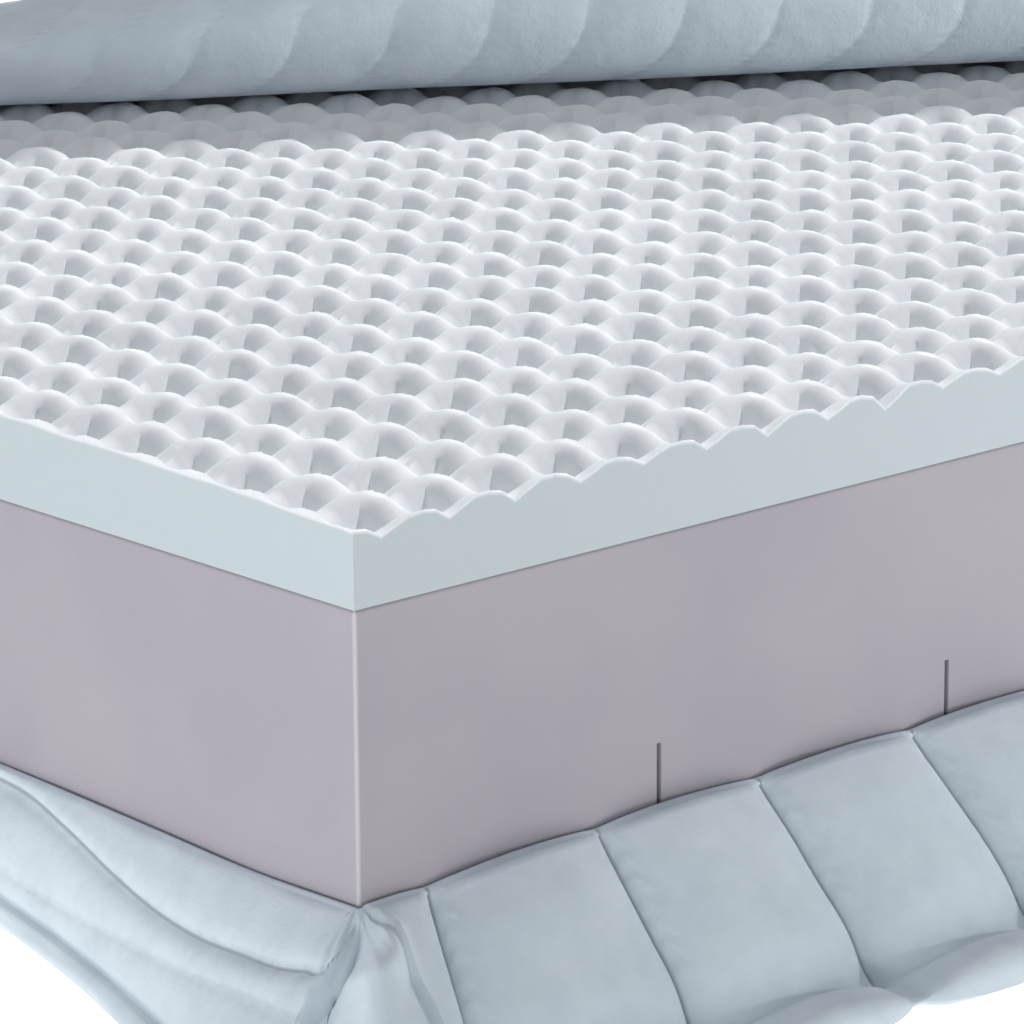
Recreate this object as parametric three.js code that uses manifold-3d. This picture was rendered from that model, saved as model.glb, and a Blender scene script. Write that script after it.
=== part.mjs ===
// Foam mattress whose quilted cover is opened and rolled back from one corner.
// Millimetres, +Z up, +X from the foot to the head, -Y the near long side.
// The origin is the middle of the underside.
import * as THREE from "three";
import { mergeVertices } from "three/addons/utils/BufferGeometryUtils.js";
import Module from "manifold-3d";

// Driving sizes of the whole mattress
const length = 2000;
const width = 900;
const baseHeight = 180;
const topperHeight = 37;
const clothThickness = 9;
const seat = 0.3; // between pieces that rest on each other
const sideGap = 0.6; // between the foam's sides and the cloth
const openEdgeHeight = 73; // free edge of the lower cover above the floor, where it stands upright
const edgeClearance = 2; // between the free edges of the two covers

// Base foam: relief slits sawn from below
const slitWidth = 2.5;
const slitHeight = 95;
const slitFirst = 155; // from the foot
const slitPitch = 163.5;
const slitCount = 11;

// Convoluted foam: four-sided pits between ridges, wide and narrow rows in turn
const pitColumns = 60;
const pitRows = 27;
const columnAlternation = 0.03;
const rowAlternation = 0.08;
const widePitDepth = 17;
const narrowPitDepth = 14;
const cutDip = 4.5; // dips of the sawn edge on the near long side
const cornerDroop = 6.5; // how far the layer sinks at the opened corner
const droopReach = 130; // where that has faded to about a third

// Quilting: channels run across the mattress, twice this pitch in the lower cover
const channelPitch = 44;
const firstLowerSeam = 37; // from the foot
const channelCrown = 3; // cloth face above the plain face, between seams
const seamDepth = 3; // cloth face below the plain face, at a seam

// Lower cover, by place along each side: how far its fold slumps outwards, how high that fold is
// lifted, and how high the free edge stands
const slumpOnNearSide = [
  { fromFoot: 0, reach: 73, lift: 0, edge: 73 },
  { fromFoot: 130, reach: 72, lift: 0, edge: 73 },
  { fromFoot: 400, reach: 73, lift: 0, edge: 82 },
  { fromFoot: 1300, reach: 62, lift: 0, edge: 84 },
  { fromFoot: 1650, reach: 26, lift: 2, edge: 78 },
  { fromFoot: 1860, reach: 0, lift: 0, edge: 73 },
  { fromFoot: length, reach: 0, lift: 0, edge: 73 },
];
const slumpOnFoot = [
  { fromNear: 0, reach: 73, lift: 0, edge: 73 },
  { fromNear: 60, reach: 42, lift: 3, edge: 73 },
  { fromNear: 120, reach: 25, lift: 8, edge: 73 },
  { fromNear: 210, reach: 15, lift: 15, edge: 73 },
  { fromNear: 550, reach: 13, lift: 13, edge: 76 },
  { fromNear: width, reach: 8, lift: 4, edge: 73 },
];
const slumpOnFarSide = [
  { fromFoot: 0, reach: 8, lift: 4, edge: 73 },
  { fromFoot: 400, reach: 0, lift: 0, edge: 73 },
  { fromFoot: length, reach: 0, lift: 0, edge: 73 },
];
const slumpOnHead = [
  { fromNear: 0, reach: 0, lift: 0, edge: 73 },
  { fromNear: width, reach: 0, lift: 0, edge: 73 },
];
const headStations = 8;
const footStations = 12;
const cornerStations = 5;
const cornerGather = 4; // folds drawn together at the corners
const foldHeight = 15; // the two cloth layers pressed together at the outer fold
const foldShare = 0.76; // of the reach, where the slanted border meets the fold
const floorInset = 20; // the flat floor starts this far inside the foam's sides
const liftOff = { reach: 0.6, lift: 0.75 }; // shares of the reach and the lift, where the cloth leaves the floor
const noseUnder = { cloth: 0.75, up: 2 }; // rounding under the fold: share of the cloth's thickness, height
const hollow = { upper: 0.72, lower: 0.66, upperGap: 3.5, lowerGap: 1 }; // between the two layers, before the fold
const fanPoint = new THREE.Vector2(260, 70); // where the floor's triangles meet
const slantShares = [0.25, 0.5, 0.75, 1]; // points up the slanted border

// Top cover: rounded edges, and a roll between two points of its front line, from the near corner
const edgeRadius = 14;
const rollStart = new THREE.Vector2(90, 900);
const rollEnd = new THREE.Vector2(1649, 0);
const rollLead = 60; // the roll begins this far before its start, and is trimmed at the side
const rollSections = [
  { share: 0, height: 22, breadth: 56 },
  { share: 0.12, height: 32, breadth: 78 },
  { share: 0.22, height: 46, breadth: 100 },
  { share: 0.25, height: 55, breadth: 116 },
  { share: 0.3, height: 74, breadth: 140 },
  { share: 0.36, height: 90, breadth: 152 },
  { share: 0.78, height: 90, breadth: 152 },
  { share: 0.94, height: 74, breadth: 135 },
  { share: 1, height: 46, breadth: 100 },
];
const rollFront = [
  { along: 0, forward: 0 },
  { along: 390, forward: -8 },
  { along: 470, forward: 13 },
  { along: 580, forward: -3 },
  { along: 750, forward: 13 },
  { along: 870, forward: 2 },
  { along: 1060, forward: 6 },
  { along: 1360, forward: -4 },
  { along: 1860, forward: 0 },
]; // the front line wavers
const rollPoints = 12;
const rollRaised = 2 / 3; // share of the way round, from the front foot, that stands clear of the panel
const rollSquareness = 0.75; // 1 is an ellipse, less is boxier
const rollSeamSlant = 0.48; // run of a seam along the roll for each length of cloth round it
const cutBehindFront = 28; // the flat panel is cut here, inside the roll
const nearOpening = { top: 1725, bottom: 1850 }; // from the foot, at the panel and at the free edge
const farOpening = { top: 136, bottom: 320 };
const headChannels = 3;

// Heights of the layers
const floorTop = clothThickness;
const baseBottom = floorTop + seat;
const baseTop = baseBottom + baseHeight;
const topperBottom = baseTop + seat;
const topperTop = topperBottom + topperHeight;
const panelBottom = topperTop + seat;
const panelTop = panelBottom + clothThickness;
const borderBottom = openEdgeHeight + edgeClearance;
const nearCorner = new THREE.Vector2(-length / 2, -width / 2);

const wasm = await Module();
wasm.setup();

// A closed body collected point by point: points at one place are shared, and flat slivers dropped
class Body {
  constructor() {
    this.points = [];
    this.triangles = [];
    this.known = new Map();
  }

  point(x, y, z) {
    const key = [x, y, z].map((value) => value.toFixed(3)).join(" ");
    if (!this.known.has(key)) {
      this.known.set(key, this.points.length / 3);
      this.points.push(x, y, z);
    }
    return this.known.get(key);
  }

  triangle(a, b, c) {
    if (a !== b && b !== c && c !== a) this.triangles.push(a, b, c);
  }

  quad(a, b, c, d) {
    this.triangle(a, b, c);
    this.triangle(a, c, d);
  }

  geometry() {
    const made = new THREE.BufferGeometry();
    made.setAttribute("position", new THREE.Float32BufferAttribute(this.points, 3));
    made.setIndex(this.triangles);
    return made;
  }
}

// A column of a table at one place, on straight lines between its rows
function readTable(rows, column, place, wanted) {
  let after = rows.findIndex((row) => row[column] >= place);
  if (after < 0) after = rows.length - 1;
  const before = Math.max(after - 1, 0);
  const span = rows[after][column] - rows[before][column];
  const share = span > 0 ? THREE.MathUtils.clamp((place - rows[before][column]) / span, 0, 1) : 0;
  return THREE.MathUtils.lerp(rows[before][wanted], rows[after][wanted], share);
}

// Rings of points joined into a body, with a fan over each end
function loft(rings) {
  const body = new Body();
  const indexed = rings.map((ring) => ring.map((p) => body.point(p.x, p.y, p.z)));
  const count = rings[0].length;
  for (let r = 0; r + 1 < rings.length; r++) {
    for (let k = 0; k < count; k++) {
      const next = (k + 1) % count;
      body.quad(indexed[r][k], indexed[r + 1][k], indexed[r + 1][next], indexed[r][next]);
    }
  }
  const capCentre = (ring) => {
    const middle = ring.reduce((sum, p) => sum.add(p), new THREE.Vector3()).divideScalar(count);
    return body.point(middle.x, middle.y, middle.z);
  };
  const first = capCentre(rings[0]);
  const last = capCentre(rings[rings.length - 1]);
  for (let k = 0; k < count; k++) {
    const next = (k + 1) % count;
    body.triangle(first, indexed[0][k], indexed[0][next]);
    body.triangle(last, indexed[rings.length - 1][next], indexed[rings.length - 1][k]);
  }
  return body.geometry();
}

// A geometry as a solid that can be joined and cut
function solid(geometry) {
  const plain = geometry.clone();
  plain.deleteAttribute("normal");
  plain.deleteAttribute("uv");
  const merged = mergeVertices(plain, 1e-4);
  return new wasm.Manifold(
    new wasm.Mesh({
      numProp: 3,
      vertProperties: new Float32Array(merged.attributes.position.array),
      triVerts: new Uint32Array(merged.index.array),
    }),
  );
}

// A solid back as a geometry
function surface(shape) {
  const mesh = shape.getMesh();
  const made = new THREE.BufferGeometry();
  made.setAttribute("position", new THREE.BufferAttribute(mesh.vertProperties, 3));
  made.setIndex(new THREE.BufferAttribute(mesh.triVerts, 1));
  return made;
}

// A block between two corners
function block(low, high) {
  const size = high.clone().sub(low);
  const middle = low.clone().add(high).multiplyScalar(0.5);
  return new THREE.BoxGeometry(size.x, size.y, size.z).translate(middle.x, middle.y, middle.z);
}

// An outline in X and Z carried along Y
function alongY(outline, fromY, toY) {
  const made = new THREE.ExtrudeGeometry(outline, {
    depth: toY - fromY,
    bevelEnabled: false,
    curveSegments: 3,
  });
  return made.rotateX(Math.PI / 2).translate(0, toY, 0);
}

// Base foam: a comb-shaped outline, the slits open at the underside
function baseFoam() {
  const outline = new THREE.Shape();
  outline.moveTo(-length / 2, baseBottom);
  for (let n = 0; n < slitCount; n++) {
    const middle = -length / 2 + slitFirst + n * slitPitch;
    outline.lineTo(middle - slitWidth / 2, baseBottom);
    outline.lineTo(middle - slitWidth / 2, baseBottom + slitHeight);
    outline.lineTo(middle + slitWidth / 2, baseBottom + slitHeight);
    outline.lineTo(middle + slitWidth / 2, baseBottom);
  }
  outline.lineTo(length / 2, baseBottom);
  outline.lineTo(length / 2, baseTop);
  outline.lineTo(-length / 2, baseTop);
  outline.closePath();
  return alongY(outline, -width / 2, width / 2);
}

// Ridge lines across a span, wide and narrow cells in turn
function ridgeLines(count, span, alternation) {
  const lines = [0];
  for (let n = 0; n < count; n++) {
    lines.push(lines[n] + (n % 2 === 0 ? 1 + alternation : 1 - alternation));
  }
  return lines.map((line) => (line / lines[count] - 0.5) * span);
}

// Convoluted foam: each cell is an inverted pyramid, and the near edge dips between ridges
function convolutedFoam() {
  const body = new Body();
  const xs = ridgeLines(pitColumns, length, columnAlternation);
  const ys = ridgeLines(pitRows, width, rowAlternation);
  const topAt = (x, y) => {
    const away = Math.hypot(x - nearCorner.x, y - nearCorner.y);
    return topperTop - cornerDroop * Math.exp(-away / droopReach);
  };
  const peaks = xs.map((x) => ys.map((y) => body.point(x, y, topAt(x, y))));
  const rim = { near: [], head: [], far: [], foot: [] };
  for (let i = 0; i < pitColumns; i++) {
    const midX = (xs[i] + xs[i + 1]) / 2;
    for (let j = 0; j < pitRows; j++) {
      const depth = j % 2 === 0 ? widePitDepth : narrowPitDepth;
      const midY = (ys[j] + ys[j + 1]) / 2;
      const pit = body.point(midX, midY, topAt(midX, midY) - depth);
      const corners = [peaks[i][j], peaks[i + 1][j], peaks[i + 1][j + 1], peaks[i][j + 1]];
      if (j === 0) {
        const dip = body.point(midX, ys[0], topAt(midX, ys[0]) - cutDip);
        rim.near.push(peaks[i][0], dip);
        corners.splice(1, 0, dip);
      }
      corners.forEach((corner, n) => body.triangle(corner, corners[(n + 1) % corners.length], pit));
    }
  }
  rim.head = peaks[pitColumns].slice(0, pitRows);
  rim.far = peaks.slice(1).reverse().map((column) => column[pitRows]);
  rim.foot = peaks[0].slice(1).reverse();
  const top = [...rim.near, ...rim.head, ...rim.far, ...rim.foot];
  const coordinate = (index, axis) => body.points[3 * index + axis];
  const bottom = top.map((index) => body.point(coordinate(index, 0), coordinate(index, 1), topperBottom));
  const middle = body.point(0, 0, topperBottom);
  top.forEach((upper, n) => {
    const next = (n + 1) % top.length;
    body.quad(bottom[n], bottom[next], top[next], upper);
    body.triangle(middle, bottom[next], bottom[n]);
  });
  return body.geometry();
}

// One section of the lower cover: out from under the foam, round the pressed fold and up the slanted
// border to the free edge, then back down inside. Each outer point has the way its face looks.
function lowerSection({ reach, lift, edge }, puff) {
  const t = clothThickness;
  const foldTop = { out: sideGap + foldShare * reach + t, up: lift + foldHeight };
  const rim = { out: sideGap + t, up: edge - t / 3 };
  const slant = new THREE.Vector2(rim.out - foldTop.out, rim.up - foldTop.up).normalize();
  const away = new THREE.Vector2(slant.y, -slant.x);
  const outer = [
    { out: -floorInset, up: 0, x: 0, z: 0 },
    { out: sideGap + liftOff.reach * (reach + t), up: liftOff.lift * lift, x: 0, z: 0 },
    { out: sideGap + reach + noseUnder.cloth * t, up: lift + noseUnder.up, x: 0.8, z: 0 },
    { out: sideGap + reach + t, up: lift + foldHeight / 2, x: 1, z: 0 },
    { ...foldTop, x: 0.5 * away.x, z: 0.5 * away.y },
  ];
  for (const share of slantShares) {
    outer.push({
      out: THREE.MathUtils.lerp(foldTop.out, rim.out, share),
      up: THREE.MathUtils.lerp(foldTop.up, rim.up, share),
      x: away.x,
      z: away.y,
    });
  }
  const points = outer.map((p, k) => new THREE.Vector2(p.out + p.x * puff(k), p.up + p.z * puff(k)));
  const clearOfFoam = (out) => Math.max(out, sideGap);
  const middle = outer[6];
  points.push(
    new THREE.Vector2(sideGap + t / 2, edge),
    new THREE.Vector2(sideGap, edge - t / 3),
    new THREE.Vector2(clearOfFoam(middle.out - t * away.x), middle.up - t * away.y),
    new THREE.Vector2(clearOfFoam(hollow.upper * reach - t / 3), lift + t + hollow.upperGap),
    new THREE.Vector2(clearOfFoam(hollow.lower * reach - t / 2), lift + t + hollow.lowerGap),
    new THREE.Vector2(sideGap, floorTop),
  );
  return points;
}

// Faces of the cloth: raised between seams and drawn in at them
const crossPuff = (atSeam) => (k) => (k < 2 ? 0 : atSeam ? -seamDepth : channelCrown);
const alongPuff = (k) => [0, 0, 0, channelCrown, -seamDepth, channelCrown, -seamDepth, channelCrown, 0][k];
const gatherPuff = (n) => (k) => (k < 2 ? 0 : n % 2 === 0 ? cornerGather / 2 : -cornerGather / 2);

// Stations of the lower cover, once round the mattress
function lowerStations() {
  const stations = [];
  const add = (x, y, turn, rows, column, place, puff) => {
    const out = new THREE.Vector2(Math.cos(turn), Math.sin(turn));
    const shape = {};
    for (const wanted of ["reach", "lift", "edge"]) shape[wanted] = readTable(rows, column, place, wanted);
    stations.push({ at: new THREE.Vector2(x, y), out, section: lowerSection(shape, puff) });
  };
  const seams = [];
  for (let x = firstLowerSeam, n = 0; x < length - channelPitch / 2; x += channelPitch, n++) {
    seams.push({ fromFoot: x, atSeam: n % 2 === 0 });
  }
  const longSide = (rows, y, turn, order) => {
    for (const { fromFoot, atSeam } of order) {
      add(fromFoot - length / 2, y, turn, rows, "fromFoot", fromFoot, crossPuff(atSeam));
    }
  };
  const endSide = (rows, x, turn, count, order) => {
    for (const n of order) {
      const fromNear = (width * n) / count;
      add(x, fromNear - width / 2, turn, rows, "fromNear", fromNear, alongPuff);
    }
  };
  const corner = (x, y, startTurn, rows, fromNear) => {
    for (let n = 0; n < cornerStations; n++) {
      const turn = startTurn + ((Math.PI / 2) * n) / (cornerStations - 1);
      add(x, y, turn, rows, "fromNear", fromNear, gatherPuff(n));
    }
  };
  const upward = (count) => Array.from({ length: count - 1 }, (_, n) => n + 1);
  corner(-length / 2, -width / 2, -Math.PI, slumpOnFoot, 0);
  longSide(slumpOnNearSide, -width / 2, -Math.PI / 2, seams);
  corner(length / 2, -width / 2, -Math.PI / 2, slumpOnHead, 0);
  endSide(slumpOnHead, length / 2, 0, headStations, upward(headStations));
  corner(length / 2, width / 2, 0, slumpOnHead, width);
  longSide(slumpOnFarSide, width / 2, Math.PI / 2, [...seams].reverse());
  corner(-length / 2, width / 2, Math.PI / 2, slumpOnFoot, width);
  endSide(slumpOnFoot, -length / 2, Math.PI, footStations, upward(footStations).reverse());
  return stations;
}

// Lower cover: the floor panel and the border that stands or slumps round it
function lowerCover() {
  const body = new Body();
  const inset = (value, span) => THREE.MathUtils.clamp(value, floorInset - span / 2, span / 2 - floorInset);
  const rings = lowerStations().map(({ at, out, section }) => {
    const outwards = section.slice(1).map((p) => body.point(at.x + out.x * p.x, at.y + out.y * p.x, p.y));
    return [body.point(inset(at.x, length), inset(at.y, width), 0), ...outwards];
  });
  const underside = body.point(fanPoint.x, fanPoint.y, 0);
  const inside = body.point(fanPoint.x, fanPoint.y, floorTop);
  rings.forEach((ring, n) => {
    const next = rings[(n + 1) % rings.length];
    const last = ring.length - 1;
    for (let k = 0; k < last; k++) body.quad(ring[k], next[k], next[k + 1], ring[k + 1]);
    body.triangle(underside, next[0], ring[0]);
    body.triangle(inside, ring[last], next[last]);
  });
  return body.geometry();
}

// Outside of the fitted top cover at one place along the mattress, drawn in by an inset
function shellRing(x, face, inset) {
  const side = width / 2 + sideGap + clothThickness + face - inset;
  const top = panelTop + face - inset;
  const eased = 0.29 * edgeRadius;
  const half = [
    [side, borderBottom],
    [side, top - edgeRadius],
    [side - eased, top - eased],
    [side - edgeRadius, top],
  ];
  const near = half.map(([y, z]) => new THREE.Vector3(x, -y, z));
  const far = half.map(([y, z]) => new THREE.Vector3(x, y, z)).reverse();
  return [...near, ...far];
}

// Channels of the fitted top cover, with a rounded end at the head
function fittedShell() {
  const headFace = length / 2 + sideGap + clothThickness;
  const rings = [];
  for (let fromFoot = farOpening.top - channelPitch, n = 0; ; fromFoot += channelPitch / 2, n++) {
    const x = fromFoot - length / 2;
    if (x > headFace - 1.5 * edgeRadius) break;
    rings.push(shellRing(x, n % 2 === 0 ? -seamDepth / 2 : channelCrown / 2, 0));
  }
  rings.push(shellRing(headFace - edgeRadius, 0, 0));
  rings.push(shellRing(headFace - 0.29 * edgeRadius, 0, 0.29 * edgeRadius));
  rings.push(shellRing(headFace, 0, edgeRadius));
  return loft(rings);
}

// Border at the head: channels run level there, one above another
function headBorder() {
  const headFace = length / 2 + sideGap + clothThickness;
  const topSeam = panelTop - edgeRadius;
  const step = (topSeam - borderBottom) / headChannels;
  const outline = new THREE.Shape();
  outline.moveTo(headFace - clothThickness, borderBottom);
  outline.lineTo(headFace, borderBottom);
  for (let n = 0; n < headChannels; n++) {
    const seam = borderBottom + n * step;
    outline.quadraticCurveTo(headFace + 2 * channelCrown, seam + step / 2, headFace, seam + step);
  }
  outline.lineTo(headFace - clothThickness, topSeam);
  outline.closePath();
  const reach = width / 2 - edgeRadius / 2;
  return alongY(outline, -reach, reach);
}

// Wound part of the top cover: a flattened roll whose seams run slantwise over it
function roll() {
  const run = rollEnd.clone().sub(rollStart);
  const total = run.length() + rollLead;
  const along = run.clone().normalize();
  const behind = new THREE.Vector2(-along.y, along.x);
  const start = rollStart.clone().addScaledVector(along, -rollLead).add(nearCorner);
  const step = channelPitch / 2 / along.x;
  const count = Math.round(total / step);
  const power = (value) => Math.sign(value) * Math.abs(value) ** rollSquareness;
  const rings = [];
  for (let n = 0; n <= count; n++) {
    const share = n / count;
    const height = readTable(rollSections, "share", share, "height");
    const breadth = readTable(rollSections, "share", share, "breadth");
    const forward = readTable(rollFront, "along", share * total, "forward");
    const ring = [];
    for (let k = 0; k < rollPoints; k++) {
      const around = k / rollPoints;
      const turn = 2 * Math.PI * around - Math.PI / 3;
      const raised = around < rollRaised;
      const wound = raised ? around : (rollRaised * (1 - around)) / (1 - rollRaised);
      const cloth = 2 * (breadth + height) * wound;
      const face = !raised || n === 0 || n === count ? 0 : n % 2 === 0 ? -seamDepth / 2 : channelCrown / 2;
      const depth = (breadth / 2) * (1 - power(Math.cos(turn))) - face * Math.cos(turn) - forward;
      const rise = (height / 2) * (1 + power(Math.sin(turn))) + face * Math.max(Math.sin(turn), 0);
      const slide = share * total + rollSeamSlant * cloth;
      const place = start.clone().addScaledVector(along, slide).addScaledVector(behind, depth);
      ring.push(new THREE.Vector3(place.x, place.y, panelBottom + Math.max(rise, 0)));
    }
    rings.push(ring);
  }
  return loft(rings);
}

// Space in front of the roll's hidden cut, where the foam lies open
function openedCorner() {
  const run = rollEnd.clone().sub(rollStart);
  const along = run.clone().normalize();
  const behind = new THREE.Vector2(-along.y, along.x);
  const middle = rollStart.clone().add(rollEnd).multiplyScalar(0.5).add(nearCorner);
  middle.addScaledVector(behind, cutBehindFront - length / 2);
  const made = new THREE.BoxGeometry(2 * length, length, 4 * panelTop);
  return made.rotateZ(along.angle()).translate(middle.x, middle.y, 0);
}

// Border taken away by the opened edge, which climbs from the free edge to the roll
function openedBorder({ top, bottom }, fromY, toY) {
  const outline = new THREE.Shape();
  outline.moveTo(-length, borderBottom - 1);
  outline.lineTo(bottom - length / 2, borderBottom - 1);
  outline.lineTo(top - length / 2, panelTop + edgeRadius);
  outline.lineTo(-length, panelTop + edgeRadius);
  outline.closePath();
  return alongY(outline, fromY, toY);
}

// Top cover: fitted shell with its opened corner cut away, joined to the roll
function topCover() {
  const sideFace = width / 2 + sideGap;
  const outside = sideFace + clothThickness;
  const inside = block(
    new THREE.Vector3(-length, -sideFace, 0),
    new THREE.Vector3(length / 2 + sideGap, sideFace, panelBottom),
  );
  const overFoam = block(
    new THREE.Vector3(-length, -outside, panelBottom),
    new THREE.Vector3(length, outside, 2 * panelTop),
  );
  const fitted = solid(fittedShell())
    .add(solid(headBorder()))
    .subtract(solid(inside))
    .subtract(solid(openedCorner()))
    .subtract(solid(openedBorder(nearOpening, -2 * width, -sideFace)))
    .subtract(solid(openedBorder(farOpening, sideFace, 2 * width)));
  return surface(fitted.add(solid(roll()).intersect(solid(overFoam))));
}

// Named pieces with their own finish
function piece(name, geometry, color, roughness) {
  geometry.computeVertexNormals();
  const mesh = new THREE.Mesh(
    geometry,
    new THREE.MeshStandardMaterial({ color, roughness, metalness: 0, flatShading: true }),
  );
  mesh.name = name;
  return mesh;
}

const mattress = new THREE.Group();
mattress.name = "foam_mattress";
mattress.add(piece("base_foam", baseFoam(), 0xb4aeb5, 0.9));
mattress.add(piece("convoluted_foam", convolutedFoam(), 0xe9eff1, 0.9));
mattress.add(piece("lower_cover", lowerCover(), 0xc3d1d6, 0.85));
mattress.add(piece("top_cover", topCover(), 0xb9c6cd, 0.85));

export default mattress;
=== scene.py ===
# Foam mattress whose quilted cover is opened and rolled back from one corner
import math

import bmesh
import bpy
import numpy as np
from mathutils import Matrix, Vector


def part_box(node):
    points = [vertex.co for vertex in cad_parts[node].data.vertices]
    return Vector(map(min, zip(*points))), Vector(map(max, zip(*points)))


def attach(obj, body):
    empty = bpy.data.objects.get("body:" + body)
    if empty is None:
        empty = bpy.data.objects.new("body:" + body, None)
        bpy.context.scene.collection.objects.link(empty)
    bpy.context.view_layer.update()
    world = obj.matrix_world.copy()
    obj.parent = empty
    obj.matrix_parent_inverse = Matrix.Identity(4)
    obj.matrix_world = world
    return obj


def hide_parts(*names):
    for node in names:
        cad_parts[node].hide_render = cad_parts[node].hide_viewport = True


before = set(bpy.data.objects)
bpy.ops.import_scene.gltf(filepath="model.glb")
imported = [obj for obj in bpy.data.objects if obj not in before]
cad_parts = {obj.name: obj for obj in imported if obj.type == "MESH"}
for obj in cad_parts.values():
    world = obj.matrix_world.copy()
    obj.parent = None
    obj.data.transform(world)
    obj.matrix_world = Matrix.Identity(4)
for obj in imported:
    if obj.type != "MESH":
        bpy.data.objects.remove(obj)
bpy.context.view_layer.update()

mm = 0.001
baseLow, baseHigh = (np.array(corner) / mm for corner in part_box("base_foam"))
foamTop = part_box("convoluted_foam")[1][2] / mm
length, width = baseHigh[0] - baseLow[0], baseHigh[1] - baseLow[1]
print("frame loaded, mattress", round(length), "x", round(width), "mm")


# eased step: 0 before low, 1 after high, a smooth s between them
def easedStep(low, high, value):
    share = np.clip((value - low) / (high - low), 0, 1)
    return share * share * (3 - 2 * share)


# cubic curve through the rows of a short table, its slope at a row taken from the rows on either side
def smoothTable(rows, place, column=1):
    table = np.array(rows, float)
    x, y = table[:, 0], table[:, column]
    slope = np.gradient(y, x)
    k = np.clip(np.searchsorted(x, place) - 1, 0, len(x) - 2)
    step = x[k + 1] - x[k]
    t = np.clip((place - x[k]) / step, 0, 1)
    start = (2 * t**3 - 3 * t**2 + 1) * y[k] + (t**3 - 2 * t**2 + t) * step * slope[k]
    return start + (3 * t**2 - 2 * t**3) * y[k + 1] + (t**3 - t**2) * step * slope[k + 1]


# random heights from -1 to 1 at whole numbers of u and v, eased between them
def softNoise(seed, u, v):
    table = np.random.default_rng(seed).uniform(-1, 1, (128, 128))
    u, v = np.broadcast_arrays(u, v)
    iu, iv = np.floor(u).astype(int), np.floor(v).astype(int)
    fu, fv = u - iu, v - iv
    fu, fv = fu * fu * (3 - 2 * fu), fv * fv * (3 - 2 * fv)
    at = lambda a, b: table[a % 128, b % 128]
    low = at(iu, iv) * (1 - fu) + at(iu + 1, iv) * fu
    high = at(iu, iv + 1) * (1 - fu) + at(iu + 1, iv + 1) * fu
    return low * (1 - fv) + high * fv


# quads of a grid of points numbered row by row
def gridQuads(rows, columns, first=0, closed=False):
    r, c = np.meshgrid(np.arange(rows - 1), np.arange(columns if closed else columns - 1), indexing="ij")
    after = (c + 1) % columns
    quads = [r * columns + c, r * columns + after, (r + 1) * columns + after, (r + 1) * columns + c]
    return first + np.stack(quads, -1).reshape(-1, 4)


# strip of quads between two lists of points
def stripQuads(one, other):
    return np.stack([one[:-1], one[1:], other[1:], other[:-1]], -1)


# object at the origin from points in millimetres, with its material and per-point values
def makePiece(name, points, faces, material, values=None, sharp=None, merge=None, turnOut=True):
    mesh = bpy.data.meshes.new(name)
    mesh.from_pydata((np.asarray(points) * mm).tolist(), [], faces)
    for key, array in (values or {}).items():
        mesh.attributes.new(key, "FLOAT", "POINT").data.foreach_set("value", np.asarray(array, np.float32).ravel())
    if merge:
        work = bmesh.new()
        work.from_mesh(mesh)
        bmesh.ops.remove_doubles(work, verts=work.verts, dist=merge * mm)
        bmesh.ops.dissolve_degenerate(work, edges=work.edges, dist=merge * mm)
        if turnOut:
            bmesh.ops.recalc_face_normals(work, faces=work.faces)
        work.to_mesh(mesh)
        work.free()
    mesh.shade_smooth()
    if sharp:
        mesh.set_sharp_from_angle(angle=math.radians(sharp))
    mesh.materials.append(material)
    piece = bpy.data.objects.new(name, mesh)
    bpy.context.scene.collection.objects.link(piece)
    mesh.calc_loop_triangles()
    print(name, len(mesh.vertices), "points", len(mesh.loop_triangles), "triangles")
    return piece


# piece takes the place of its CAD node
def dress(piece, node):
    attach(piece, "root")
    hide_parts(node)


# tones of each finish
finishes = {
    # the white foam's side tone is a darker copy of its own tone: painted shade on the upright sides
    "whiteFoam": {"light": (0.86, 0.875, 0.90), "deep": (0.81, 0.825, 0.85), "sideShade": (0.525, 0.595, 0.62)},
    # the base foam's edge tone is a painted highlight along its four upright corners
    "baseFoam": {"light": (0.437, 0.408, 0.447), "deep": (0.408, 0.379, 0.421), "edge": (0.58, 0.56, 0.58)},
    "cloth": {"light": (0.70, 0.79, 0.85), "deep": (0.64, 0.73, 0.79), "thread": (0.44, 0.51, 0.56)},
}
# noise scales per metre, spans of a ramp, distances in millimetres, shares of the bump's depth
foamGrain = {
    "cloud": 9,
    "cloudSpan": (0.35, 0.65),
    "highlightBand": (-1.8, -0.6),  # painted highlight: lighter strip along the upright sawn corner edges
    "pores": 900,
    "poreShare": 0.35,
    "wander": 60,
    "depth": 0.5,
}
knitGrain = {
    "mottle": 45,
    "mottleSpan": (0.3, 0.7),
    "sewnLine": (1.3, 0.2),
    "pile": 700,
    "pileShare": 0.2,
    "rumple": 70,
    "puckerWave": 0.65,  # radians for each millimetre along the seam
    "puckerWander": (60, 6),
    "puckerReach": 11,
    "puckerShare": 0.35,
    "depth": 1.2,
}


def newMaterial(name, roughness):
    material = bpy.data.materials.new(name)
    material.use_nodes = True
    nodes, links = material.node_tree.nodes, material.node_tree.links
    shader = nodes["Principled BSDF"]
    shader.inputs["Roughness"].default_value = roughness
    shader.inputs["Specular IOR Level"].default_value = 0.2
    return material, nodes, links, shader


def addNoise(nodes, links, place, scale, detail=2.0, roughness=0.5):
    noise = nodes.new("ShaderNodeTexNoise")
    noise.inputs["Scale"].default_value = scale
    noise.inputs["Detail"].default_value = detail
    noise.inputs["Roughness"].default_value = roughness
    links.new(place, noise.inputs["Vector"])
    return noise.outputs["Fac"]


def addMix(nodes, links, factor, first, second):
    mix = nodes.new("ShaderNodeMix")
    mix.data_type = "RGBA"
    links.new(factor, mix.inputs["Factor"])
    for socket, value in ((mix.inputs["A"], first), (mix.inputs["B"], second)):
        if isinstance(value, tuple):
            socket.default_value = (*value, 1)
        else:
            links.new(value, socket)
    return mix.outputs["Result"]


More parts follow.
